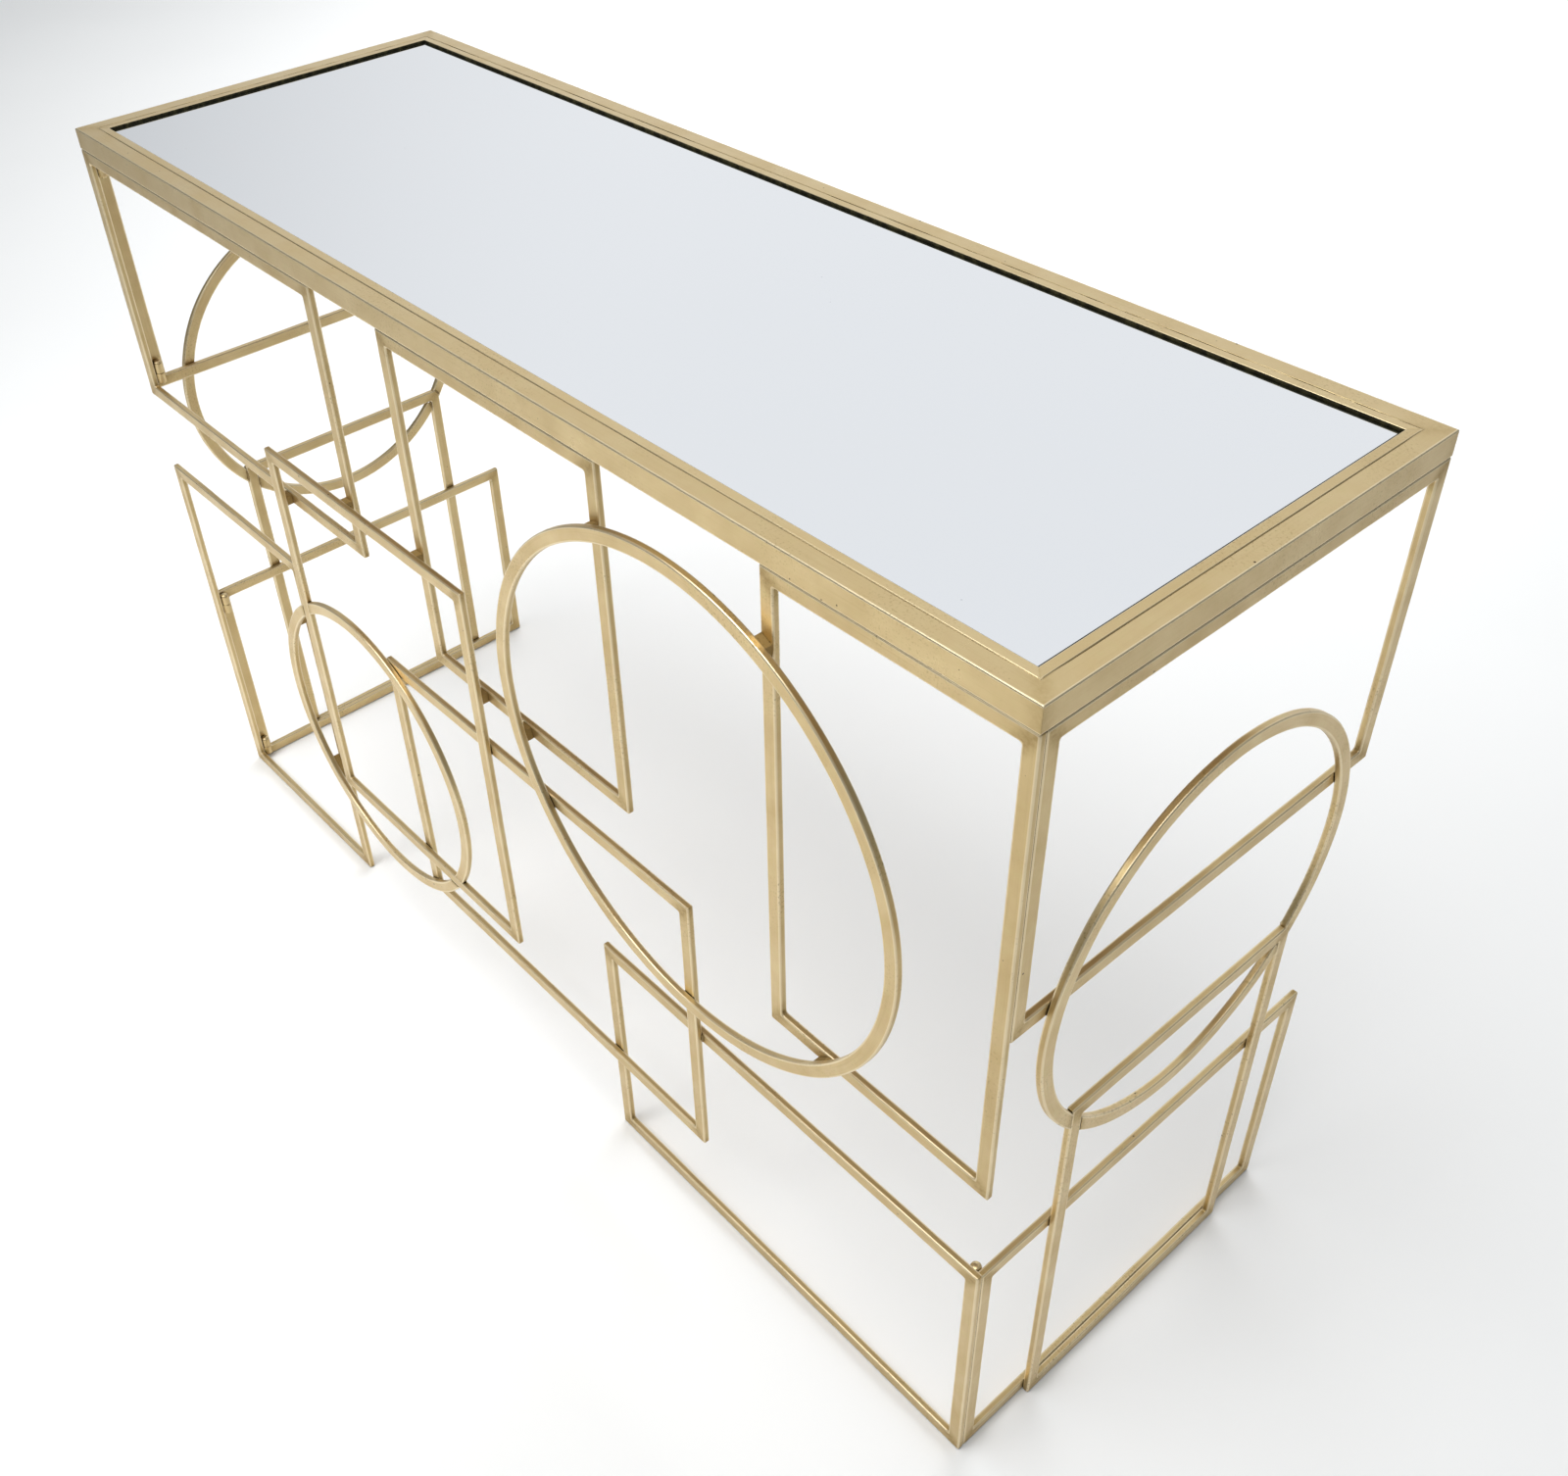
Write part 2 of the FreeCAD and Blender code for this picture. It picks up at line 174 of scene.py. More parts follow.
def grid_faces(rows, columns, closed_rows, closed_columns):
    """Quads over a grid of points: each joins a point to its neighbours along and across."""
    i, j = np.meshgrid(np.arange(rows if closed_rows else rows - 1),
                       np.arange(columns if closed_columns else columns - 1), indexing="ij")
    steps = np.array([(0, 0), (0, 1), (1, 1), (1, 0)])
    row = i[..., None] + steps[:, 0]
    column = j[..., None] + steps[:, 1]
    index = (row % rows) * columns + column % columns
    return index.reshape(-1, 4), row.reshape(-1), column.reshape(-1)


def faces_in(points, faces):
    """True where quads face inwards: the volume they enclose, the sum of each quad's corner products
    about the points' middle, comes out negative."""
    a, b, c, d = (points[faces[:, k]] - points.mean(axis=0) for k in range(4))
    volume = np.einsum("ij,ij->", a, np.cross(b, c)) + np.einsum("ij,ij->", a, np.cross(c, d))
    return volume < 0


class Pile:
    """Collects closed surfaces that together make one piece."""

    def __init__(self):
        self.points, self.loops, self.sizes = [], [], []
        self.uv, self.marks, self.slots = [], [], []
        self.count = 0

    def surface(self, grid, closed_rows, closed_columns, along=None, around=None, slot=0,
                cap_slots=(0, 0), **marks):
        """Add a grid of points (rows, columns, 3).  Open rows get a cap at each end, so every surface is
        closed.  along and around: the pattern's distances; slot, cap_slots: the quads' and caps' materials;
        marks: values at the points."""
        rows, columns = grid.shape[:2]
        points = grid.reshape(-1, 3)
        faces, row, column = grid_faces(rows, columns, closed_rows, closed_columns)
        along = np.arange(rows + 1) * MM if along is None else along
        around = np.arange(columns + 1) * MM if around is None else around
        uv = np.stack([along[row], around[column]], axis=-1).reshape(-1, 4, 2)
        flip = faces_in(points, faces)
        if flip:
            faces, uv = faces[:, ::-1], uv[:, ::-1]
        self.loops.append(faces.reshape(-1) + self.count)
        self.sizes.append(np.full(len(faces), 4))
        self.uv.append(uv.reshape(-1, 2))
        self.slots.append(np.broadcast_to(slot, len(faces)))
        if not closed_rows:
            first = np.arange(columns)
            last = first + (rows - 1) * columns
            for cap, turned, cap_slot in ((first, flip, cap_slots[0]), (last, not flip, cap_slots[1])):
                self.loops.append((cap if turned else cap[::-1]) + self.count)
                self.sizes.append(np.array([columns]))
                self.uv.append(np.zeros((columns, 2)))
                self.slots.append(np.array([cap_slot]))
        self.points.append(points)
        self.marks.append({mark: np.broadcast_to(value, (rows, columns)).reshape(-1)
                           for mark, value in marks.items()})
        self.count += len(points)

    def piece(self, name, materials, body, slot, *replaced):
        """Make the object, let it ride on its body, and let it stand for its frame nodes."""
        points = np.concatenate(self.points)
        loops = np.concatenate(self.loops)
        counts = np.concatenate(self.sizes)
        mesh = bpy.data.meshes.new(name)
        mesh.vertices.add(len(points))
        mesh.vertices.foreach_set("co", points.astype(np.float32).ravel())
        mesh.loops.add(len(loops))
        mesh.loops.foreach_set("vertex_index", loops.astype(np.int32))
        mesh.polygons.add(len(counts))
        starts = np.concatenate([[0], np.cumsum(counts)[:-1]])
        mesh.polygons.foreach_set("loop_start", starts.astype(np.int32))
        mesh.polygons.foreach_set("material_index", np.concatenate(self.slots).astype(np.int32))
        mesh.polygons.foreach_set("use_smooth", counts == 4)
        mesh.update(calc_edges=True)
        layer = mesh.uv_layers.new(name="lay")
        layer.data.foreach_set("uv", np.concatenate(self.uv).astype(np.float32).ravel())
        for mark in sorted({k for marks in self.marks for k in marks}):
            values = [m.get(mark, np.zeros(len(p))) for m, p in zip(self.marks, self.points)]
            attribute = mesh.attributes.new(mark, "FLOAT", "POINT")
            attribute.data.foreach_set("value", np.concatenate(values).astype(np.float32))
        for material in materials:
            mesh.materials.append(material)
        mesh.validate()
        piece = bpy.data.objects.new(name, mesh)
        bpy.context.scene.collection.objects.link(piece)
        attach(piece, body)
        if replaced:
            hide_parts(*replaced)


def rounded_outline(corners, radii, steps=4, hold=0.35 * MM):
    """Closed outline with each corner rounded: a quarter-like arc from the point one radius before the
    corner to the point one radius after it, and a holding point a little further along each side.
    Returns the points, and 1 at points on an arc, else 0."""
    corners = np.array(corners, float)
    points, marks = [], []
    for k, (corner, radius) in enumerate(zip(corners, radii)):
        before, after = corners[k - 1] - corner, corners[(k + 1) % len(corners)] - corner
        before, after = before / np.linalg.norm(before), after / np.linalg.norm(after)
        t = np.linspace(0, 1, steps + 1)[:, None] * np.pi / 2
        arc = corner + radius * ((1 - np.sin(t)) * before + (1 - np.cos(t)) * after)
        points += [corner + (radius + hold) * before, *arc, corner + (radius + hold) * after]
        marks += [0.0] + [1.0] * (steps + 1) + [0.0]
    return np.array(points), np.array(marks)


def bar_section(width, depth, radius):
    """Flat bar's section: across its width, then through its thickness, all four edges rounded."""
    return rounded_outline([(0, 0), (width, 0), (width, depth), (0, depth)], [radius] * 4)


def wrap_lengths(points):
    """Distance from the first point to each point of an outline, and right round back to it."""
    path = np.concatenate([points, points[:1]])
    return np.concatenate([[0], np.cumsum(np.linalg.norm(np.diff(path, axis=0), axis=1))])


def loop_stations(spans, spacing, arc_steps=3, hold=0.9 * MM):
    """Stations round a rectangle with rounded corners, shared by every inset of it: a row of them along
    each side, closer together at its ends, then a few round the corner that ends it.
    Returns arrays: side index, whether on a corner's arc, share along the side, share of the arc turned,
    and distance to the nearest corner."""
    parts = []
    arc = np.linspace(0, 1, arc_steps + 1)[1:-1]
    for k, span in enumerate(spans):
        inner = np.linspace(0, 1, max(4, int(span / spacing)))
        holds = np.array([hold, 3 * hold]) / span
        share = np.unique(np.concatenate([[0.0], holds, inner[1:-1], 1 - holds, [1.0]]))
        nothing = 0 * share
        parts.append(np.stack([nothing + k, nothing, share, nothing, np.minimum(share, 1 - share) * span]))
        parts.append(np.stack([0 * arc + k, 0 * arc + 1, 0 * arc, arc, 0 * arc]))
    side, on_arc, share, turn, reach = np.concatenate(parts, axis=1)
    return side.astype(int), on_arc > 0, share, turn, reach


def carried_round(low, high, inset, corner, spacing=12 * MM):
    """Carry profile points round a rectangle: each follows the rectangle drawn in by its own inset, with
    the corners rounded to the corner radius.  low, high: the rectangle's corners in its plane.
    Returns points in the plane (stations, profile, 2), each station's side and its distance to a corner."""
    spans = np.array([high[0] - low[0], high[1] - low[1]] * 2)
    corner = np.broadcast_to(corner, inset.shape)
    k, on_arc, share, turn, reach = loop_stations(spans, spacing)
    left, bottom = low[0] + inset + corner, low[1] + inset + corner
    right, top = high[0] - inset - corner, high[1] - inset - corner
    centres = np.stack([np.stack(pair, -1) for pair in ((left, bottom), (right, bottom), (right, top),
                                                        (left, top))])
    outwards = np.array([(0, -1), (1, 0), (0, 1), (-1, 0)], float)
    along = centres[k] * (1 - share)[:, None, None] + centres[(k + 1) % 4] * share[:, None, None]
    straight = along + corner[:, None] * outwards[k][:, None, :]
    angle = turn * np.pi / 2
    spoke = np.cos(angle)[:, None] * outwards[k] + np.sin(angle)[:, None] * outwards[(k + 1) % 4]
    bent = centres[(k + 1) % 4] + corner[:, None] * spoke[:, None, :]
    return np.where(on_arc[:, None, None], bent, straight), k, reach


def wavy(points, amount):
    """Drawn bar is never dead straight: each point moves by a few slow sines of its place."""
    shift = np.zeros_like(points)
    for number, wave in enumerate((61 * MM, 97 * MM, 151 * MM)):
        for axis in range(3):
            phase = points[..., (axis + 1) % 3] * TURN / wave + points[..., (axis + 2) % 3] * 5 / wave
            shift[..., axis] += np.sin(phase + number * 1.7 + axis) / 3
    return points + amount * shift


def in_plane(normal_axis):
    """The two axes that a panel lies along."""
    return [axis for axis in range(3) if axis != normal_axis]


def into_panel(plane, depth, normal_axis):
    """Points drawn in a panel's plane, and their depth, to the frame's three axes."""
    points = np.empty((*np.broadcast(plane[..., 0], depth).shape, 3))
    points[..., in_plane(normal_axis)] = plane
    points[..., normal_axis] = depth
    return points


def on_circle(angle):
    """Point of the unit circle at each angle."""
    return np.stack([np.cos(angle), np.sin(angle)], -1)


def flat_box(node, normal_axis):
    """Lowest and highest corner of a node in its panel's plane."""
    low, high = box_of(node)
    return low[in_plane(normal_axis)], high[in_plane(normal_axis)]


def circle_of(node, normal_axis):
    """Middle and outer radius of a ring, from the box of its node."""
    low, high = flat_box(node, normal_axis)
    return (low + high) / 2, (high - low)[0] / 2


def side_tone(seed, k):
    """A tone between 0 and 1 for each of four bars, so that neighbours differ a little."""
    return np.random.default_rng(seed).uniform(0, 1, 4)[k]


def drawn_bar(pile, points, section, waviness, closed=True, along=None, **marks):
    """Add drawn bar, a little wavy, with the pattern's distances taken along it and round its section."""
    along = wrap_lengths(points[:, 0]) if along is None else along
    pile.surface(wavy(points, waviness), closed, True, along=along, around=wrap_lengths(section), **marks)


def welded_frame(pile, node, normal_axis, seed):
    """Four mitred flat bars welded into a frame and ground: the bar's section carried round the
    node's outline, with rounded corners."""
    low, high = box_of(node)
    s = sizes()
    section, edge = bar_section(s.bar_width, high[normal_axis] - low[normal_axis], s.bar_round)
    corner = s.bar_corner + (s.bar_fillet - s.bar_corner) * section[:, 0] / s.bar_width
    plane, k, reach = carried_round(*flat_box(node, normal_axis), section[:, 0], corner)
    points = into_panel(plane, low[normal_axis] + section[:, 1], normal_axis)
    weld = np.exp(-(reach / CORNER_WELD) ** 2)[:, None]
    drawn_bar(pile, points, section, s.waviness, edge=edge, weld=weld, tone=side_tone(seed, k)[:, None])


def ring_section(node, normal_axis):
    """Ring's section measured in from its outer edge, each point's radius and depth, and the edges."""
    low, high = box_of(node)
    section, edge = bar_section(sizes().bar_width, (high - low)[normal_axis], sizes().bar_round)
    return section, circle_of(node, normal_axis)[1] - section[:, 0], low[normal_axis] + section[:, 1], edge


def whole_ring(pile, node, normal_axis):
    """Flat bar rolled into a ring: its section carried round a circle."""
    section, reach, depth, edge = ring_section(node, normal_axis)
    angle = np.linspace(0, TURN, WHOLE_STEPS + 1)[:-1, None]
    plane = circle_of(node, normal_axis)[0] + reach[:, None] * on_circle(angle)
    drawn_bar(pile, into_panel(plane, depth, normal_axis), section, sizes().waviness, edge=edge)


def free_spans(middle, reach, stop, normal_axis):
    """Where a circle runs clear of a frame's four bars, for each profile point's own radius: a fine set
    of angles is tested against the frame's outer and inner rectangle, and a span lies between two
    changes.  Returns start and end angles (spans, profile)."""
    (low, high), width = flat_box(stop, normal_axis), sizes().bar_width
    angle = np.linspace(0, TURN, TESTED_ANGLES + 1)[:-1]
    plane = middle + reach[:, None, None] * on_circle(angle)
    inside = np.all((plane > low) & (plane < high), axis=-1)
    hole = np.all((plane > low + width) & (plane < high - width), axis=-1)
    blocked = inside & ~hole
    start = int(np.argmax(blocked.all(axis=0)))
    blocked = np.roll(blocked, -start, axis=1)
    change = np.diff(np.concatenate([blocked, blocked[:, :1]], axis=1).astype(np.int8), axis=1)
    starts = np.stack([np.flatnonzero(row < 0) for row in change])
    ends = np.stack([np.flatnonzero(row > 0) for row in change])
    step = TURN / len(angle)
    return (starts + 1 + start).T * step, (ends + start).T * step


def stopped_ring(pile, node, normal_axis, stop):
    """Ring cut where a frame of its own layer runs through it: each arc's ends follow the bars' faces."""
    section, reach, depth, edge = ring_section(node, normal_axis)
    middle = circle_of(node, normal_axis)[0]
    t = np.linspace(0, 1, ARC_STEPS + 1)[:, None]
    for start, end in zip(*free_spans(middle, reach, stop, normal_axis)):
        plane = middle + reach[:, None] * on_circle(start + (end - start) * t)
        points = into_panel(plane, depth, normal_axis)
        run = np.linalg.norm(points[0, 0] - points[1, 0]) * np.arange(ARC_STEPS + 2)
        weld = np.exp(-(np.minimum(t, 1 - t) * run[-1] / ARC_WELD) ** 2)
        drawn_bar(pile, points, section, sizes().waviness, closed=False, along=run, edge=edge, weld=weld)


def bead(pile, first, last, radius, seed):
    """Lumpy weld bead: a tube from one point to another whose radius follows a half ellipse with
    ripples laid over it, and whose line wanders a little."""
    random = np.random.default_rng(seed)
    axis = last - first
    reach = np.linalg.norm(axis)
    axis = axis / reach
    side = np.cross(axis, [0.31, 0.52, 0.79])
    side = side / np.linalg.norm(side)
    other = np.cross(axis, side)
    t = np.linspace(-1, 1, 19)[:, None]
    angle = np.linspace(0, TURN, 13)[:-1]
    ripple = 1 + 0.16 * np.sin(t * random.uniform(9, 13) + random.uniform(0, 6))
    ripple = ripple + 0.10 * np.sin(3 * angle + t * 4 + random.uniform(0, 6))
    swell = radius * np.sqrt(np.clip(1 - np.abs(t) ** 3, 0.004, 1)) * ripple
    line = (first + last) / 2 + t * (reach / 2 + radius * 0.5) * axis + 0.15 * radius * np.sin(5 * t) * side
    grid = line[:, None, :] + swell[..., None] * (on_circle(angle) @ np.stack([side, other]))
    pile.surface(grid, False, True, weld=1.0, edge=0.35)


def turned(pile, outline, axis_place, steps=32, **marks):
    """Turned shape: an outline of radius and height carried once round an upright axis.  The outline's
    first and last radius are near nothing, and a cap closes each."""
    outline = np.array(outline, float)
    angle = np.linspace(0, TURN, steps + 1)[:-1]
    radius, height = outline[:, 0, None], outline[:, 1, None] + 0 * angle
    grid = into_panel(np.array(axis_place) + radius[..., None] * on_circle(angle), height, FACES_UP)
    pile.surface(grid, False, True, **marks)


# ---- materials

def add(tree, kind, inputs=None, out=0, **settings):
    """Add one shader node with its settings; each input is given a value or a socket to link.
    Returns one of its outputs, the first unless another is asked for."""
    node = tree.nodes.new("ShaderNode" + kind)
    for name, value in settings.items():
        setattr(node, name, value)
    for name, value in (inputs or {}).items():
        if isinstance(value, bpy.types.NodeSocket):
            tree.links.new(value, node.inputs[name])
        else:
            node.inputs[name].default_value = value
    return node.outputs[out] if node.outputs else None


def finish_of(name, paint, **choices):
    """The material of this name.  When it is new, paint lays its nodes, starting from the piece's own
    coordinates, and gives the shader's inputs."""
    material = bpy.data.materials.get(name)
    if material is None:
        material = bpy.data.materials.new(name)
        material.use_nodes = True
        tree = material.node_tree
        tree.nodes.clear()
        place = add(tree, "TexCoord", out="Object")
        shader = add(tree, "BsdfPrincipled", paint(tree, place, **choices))
        add(tree, "OutputMaterial", {"Surface": shader})
    return material


def per(millimetres):
    """Noise scale that gives features of about this size on Object coordinates."""
    return 1 / (millimetres * MM)


def gilt(tree, place, mottle, roughness, thick, dull):
    """Champagne-gold metal-flake lacquer sprayed on a dark undercoat over steel: a satin metal that is
    mottled where the spray lies thicker, streaked along the bar, with a few pits. It also carries painted
    light:
    a painted highlight on edges, painted shade in seams, and an even painted shade of deeper gilt, as strong
    as thick."""
    c = colours()
    # Spray clouds are 40 mm across, flake casts 9 mm, speckled patches 70 mm; undercoat grains are 0.5 mm,
    # drawn 2 mm so that they show; weld ripple is 3 mm and orange peel 1.6 mm
    noise = {name: add(tree, "TexNoise", {"Vector": place, "Scale": per(across), "Detail": detail,
                                          "Roughness": rough})
             for name, across, detail, rough in (
                 ("cloud", 40, 4.0, 0.6), ("cast", 9, 2.0, 0.5), ("patchy", 3, 3.0, 0.5),
                 ("rare", 60, 1.0, 0.5), ("grain", 2, 3.0, 0.7), ("patch", 70, 2.0, 0.5),
                 ("peel", 1.6, 2.0, 0.5))}
    # Lengthwise streaks left by drawing and wiping, 2 mm wide and 90 mm long
    lay = add(tree, "UVMap", uv_map="lay")
    stretched = add(tree, "Mapping", {"Vector": lay, "Scale": (per(90), per(2.0), 1.0)})
    noise["streak"] = add(tree, "TexNoise", {"Vector": stretched, "Scale": 1.0, "Detail": 3.0,
                                             "Roughness": 0.7})
    # Painted shade in seams: the undercoat colour is laid where surfaces less than 2.4 mm apart close in on
    # each other, as ambient occlusion finds them
    noise["occlusion"] = add(tree, "AmbientOcclusion", {"Distance": 2.4 * MM}, out="AO", samples=8)
    # Each amount: its source, the range read from it, and the range that this becomes
    amount = {name: add(tree, "MapRange", {"Value": noise[source], "From Min": low, "From Max": high,
                                           "To Min": least, "To Max": most})
              for name, source, low, high, least, most in (
                  # deep: thicker spray in clouds, over a floor of thick, an even painted shade
                  ("deep", "cloud", 0.35, 0.68, thick, thick + 0.6 * mottle),
                  ("warm", "cast", 0.42, 0.72, 0.0, 0.22 * mottle),
                  ("green", "cast", 0.42, 0.25, 0.0, 0.25 * mottle),
                  ("streak", "streak", 0.52, 0.75, 0.0, 0.35 * mottle),
                  ("reach", "rare", 0.45, 0.75, 0.02, 0.10),
                  ("speck", "grain", 0.55, 0.66, 0.0, 0.6 * mottle),
                  ("patch", "patch", 0.50, 0.62, 0.0, 1.0),
                  ("seam_shade", "occlusion", 0.62, 0.34, 0.0, 0.94),
                  ("rough", "cloud", 0.3, 0.7, roughness - 0.06, roughness + 0.10))}
    # Marks on the mesh: each bar's own shade, its ground welds and its edges
    mark = {name: add(tree, "Attribute", out="Fac", attribute_name=name) for name in ("tone", "weld", "edge")}
    # Pits and nicks down to the undercoat: real ones are 0.3 mm, drawn near 1 mm so that they show
    cells = add(tree, "TexVoronoi", {"Vector": place, "Scale": per(11), "Randomness": 1.0})
    sums = {name: add(tree, "Math", {0: first, 1: second, 2: third}, operation=operation)
            for name, operation, first, second, third in (
                ("shade", "MULTIPLY", mark["tone"], 0.35, 0.0),
                ("weld", "MULTIPLY_ADD", mark["weld"], noise["patchy"], dull),
                # edge_highlight_amount: how strongly the painted highlight shows on edges
                ("edge_highlight_amount", "MULTIPLY", mark["edge"], 0.55, 0.0),
                ("near", "SUBTRACT", amount["reach"], cells, 0.0),
                ("scuff", "MULTIPLY", amount["speck"], amount["patch"], 0.0))}
    pit = add(tree, "MapRange", {"Value": sums["near"], "From Min": 0.0, "From Max": 0.03})
    body = tuple(c.gilt)
    for cover, over in ((amount["deep"], tuple(c.gilt_deep_and_shade)),  # thicker spray, and on the bars a painted shade all over
                        (amount["warm"], linear("#CBAE88")),  # flakes lying one way
                        (amount["green"], linear("#CDC28B")),  # and the other
                        (amount["streak"], linear("#AE9562")),
                        (sums["shade"], linear("#B39A68")),  # each bar its own shade
                        (sums["weld"], linear("#A0854F")),  # ground welds, duller and darker
                        (sums["edge_highlight_amount"], tuple(c.gilt_edge_highlight)),  # painted highlight: pale bright gilt on edges
                        (pit, tuple(c.undercoat)),
                        (sums["scuff"], linear("#86703F")),  # brown speckle
                        # painted shade in seams, in the undercoat colour
                        (amount["seam_shade"], tuple(c.undercoat))):
        body = add(tree, "Mix", {0: cover, 6: body, 7: over}, out=2, data_type="RGBA")
    rough = add(tree, "Math", {0: sums["weld"], 1: 0.2, 2: amount["rough"]}, operation="MULTIPLY_ADD")
    # Orange peel, dents, pits, weld ripple: how strongly each shows and how deep it is in millimetres
    normal = None
    for height, strength, deep, sunk in (
            (noise["peel"], 0.25, 0.08, False), (noise["cloud"], 0.35, 0.6, False),
            (pit, 0.5, 0.2, True), (sums["weld"], 0.5, 0.35, False)):
        under = {} if normal is None else {"Normal": normal}
        normal = add(tree, "Bump", {"Height": height, "Strength": strength, "Distance": deep * MM, **under},
                     invert=sunk)
    return {"Base Color": body, "Metallic": 0.94, "Roughness": rough, "Normal": normal}


def bar_gilt():
    """Gilt of the base's bars, with painted shade: deeper gilt laid all over, so that they read darker than
    the top.
    """
    return finish_of("gilt_lacquer_sprayed_bar", gilt, mottle=1.0, roughness=0.36, thick=0.3, dull=0.0)


def weld_gilt():
    """Gilt over rough weld metal: duller and darker, with the bars' painted shade as well."""
    return finish_of("gilt_lacquer_over_weld", gilt, mottle=1.3, roughness=0.5, thick=0.3, dull=0.8)


def top_gilt():
    """Gilt of the top's rails: smoother, without the bars' painted shade."""
    return finish_of("gilt_lacquer_sprayed_top", gilt, mottle=0.7, roughness=0.32, thick=0.0, dull=0.0)


def mottled(tree, place, across, detail, from_range, most, body, over, bump, roughness, metallic=0.0):
    """A finish of one colour with another laid over it in patches of a given size in millimetres, and
    relief of the same patches, of a given strength and depth in millimetres."""
    patches = add(tree, "TexNoise", {"Vector": place, "Scale": per(across), "Detail": detail})
    amount = add(tree, "MapRange", {"Value": patches, "From Min": from_range[0], "From Max": from_range[1],
                                    "To Min": 0.0, "To Max": most})
    mixed = add(tree, "Mix", {0: amount, 6: body, 7: linear(over)}, out=2, data_type="RGBA")
    relief = add(tree, "Bump", {"Height": patches, "Strength": bump[0], "Distance": bump[1] * MM})
    return {"Base Color": mixed, "Metallic": metallic, "Roughness": roughness, "Normal": relief}


def rebate_painted_shade():
    """Painted shade on the rebate's upright wall, which lies in shadow: dark olive-brown, satin."""
    return finish_of("rebate_wall_painted_shade", mottled, across=6, detail=4.0, from_range=(0.45, 0.75),
                     most=0.5, body=linear("#2E2B1A"), over="#7F774A", bump=(0.3, 0.1), metallic=0.5,
                     roughness=0.5)


def mirror_border_shade():
    """Painted shade over the mirror's ground edge and bevel, for the shaded gap round the glass: black-green,
    slightly glossy.
    """
    return finish_of("mirror_border_painted_shade", mottled, across=1.2, detail=3.0, from_range=(0.5, 0.8),
                     most=0.4, body=tuple(colours().mirror_edge_shade), over="#39463A", bump=(0.3, 0.05), roughness=0.3)


def worn_steel_pin():
    """Steel hinge pin, gilt sprayed over and rubbed through where it turns: warm grey metal."""
    return finish_of("steel_pin_rubbed_gilt", mottled, across=2, detail=4.0, from_range=(0.45, 0.62),
                     most=0.8, body=tuple(colours().gilt), over="#A39378", bump=(0.3, 0.08), metallic=0.95,
                     roughness=0.32)


def silvering(tree, place):
    """Float glass silvered on its back: a clean, pale blue-grey mirror with faint dust and wipe marks."""
    wiped = add(tree, "Mapping", {"Vector": place, "Rotation": (0.0, 0.0, 0.6),
                                  "Scale": (per(300), per(28), 1.0)})
    marks = add(tree, "TexNoise", {"Vector": wiped, "Scale": 1.0, "Detail": 5.0})
    rough = add(tree, "MapRange", {"Value": marks, "From Min": 0.45, "From Max": 0.8,
                                   "To Min": 0.015, "To Max": 0.05})
    dust = add(tree, "TexVoronoi", {"Vector": place, "Scale": per(38)})
    speck = add(tree, "MapRange", {"Value": dust, "From Min": 0.012,
                                   "From Max": 0.022, "To Min": 0.35, "To Max": 0.0})
    tint = add(tree, "Mix", {0: speck, 6: tuple(colours().silver), 7: linear("#8D949A")},
               out=2, data_type="RGBA")
    return {"Base Color": tint, "Metallic": 1.0, "Roughness": rough, "Coat Weight": 0.3,
            "Coat Roughness": 0.01}


def fibreboard(tree, place):
    """Medium-density fibreboard, pressed and sanded: matt tan with fine felted fibres, which are 0.2 mm
    wide but drawn 1.5 mm wide and 6 mm long so that they show."""
    drawn = add(tree, "Mapping", {"Vector": place, "Scale": (per(6), per(1.5), per(1.5))})
    fibres = add(tree, "TexNoise", {"Vector": drawn, "Scale": 1.0, "Detail": 5.0, "Distortion": 1.5})
    amount = add(tree, "MapRange", {"Value": fibres, "From Min": 0.3, "From Max": 0.7})
    body = add(tree, "Mix", {0: amount, 6: tuple(colours().fibre), 7: linear("#7D6242")},
               out=2, data_type="RGBA")
    bump = add(tree, "Bump", {"Height": fibres, "Strength": 0.4, "Distance": 0.1 * MM})
    return {"Base Color": body, "Roughness": 0.85, "Normal": bump}


def zinc(tree, place):
    """Bright zinc electroplate on steel: pale blue-grey metal with cloudy passivation."""
    cloud = add(tree, "TexNoise", {"Vector": place, "Scale": per(2.5), "Detail": 3.0})
    body = add(tree, "Mix", {0: cloud, 6: tuple(colours().zinc), 7: linear("#8F9AA6")},
               out=2, data_type="RGBA")
    rough = add(tree, "MapRange", {"Value": cloud, "To Min": 0.22, "To Max": 0.4})
    return {"Base Color": body, "Metallic": 1.0, "Roughness": rough}


def floor_paint(tree, place):
    """Matt white paint on the studio floor, a very little uneven, in patches half a metre across."""
    cloud = add(tree, "TexNoise", {"Vector": place, "Scale": per(500), "Detail": 2.0})
    body = add(tree, "Mix", {0: cloud, 6: tuple(colours().floor), 7: linear("#F8F8F7")},
               out=2, data_type="RGBA")
    return {"Base Color": body, "Roughness": 0.9, "Specular IOR Level": 0.1}


def repaint(node, material):
    """Give a frame node that stays on show its finish."""
    slots = frame["nodes"][node].data.materials
    slots.clear()
    slots.append(material)


# ---- operators, one for each group of pieces

def bar_piece(name, body, node, shape, *choices):
    """One piece of gilt flat bar that stands for one frame node."""
    pile = Pile()
    shape(pile, node, *choices)
    pile.piece(name, [bar_gilt()], body, "gilt_bar", node)


class VANITY_OT_front_frames(bpy.types.Operator):
    """Seven welded flat-bar frames of the front panel"""
    bl_idname = "vanity.front_frames"
    bl_label = "Front Frames"

    def execute(self, context):
        for number, name in enumerate(FRONT_FRAMES):
            bar_piece("frame_" + name, "root", "front_frame_" + name, welded_frame, FACES_FRONT, 11 + number)
        return {"FINISHED"}


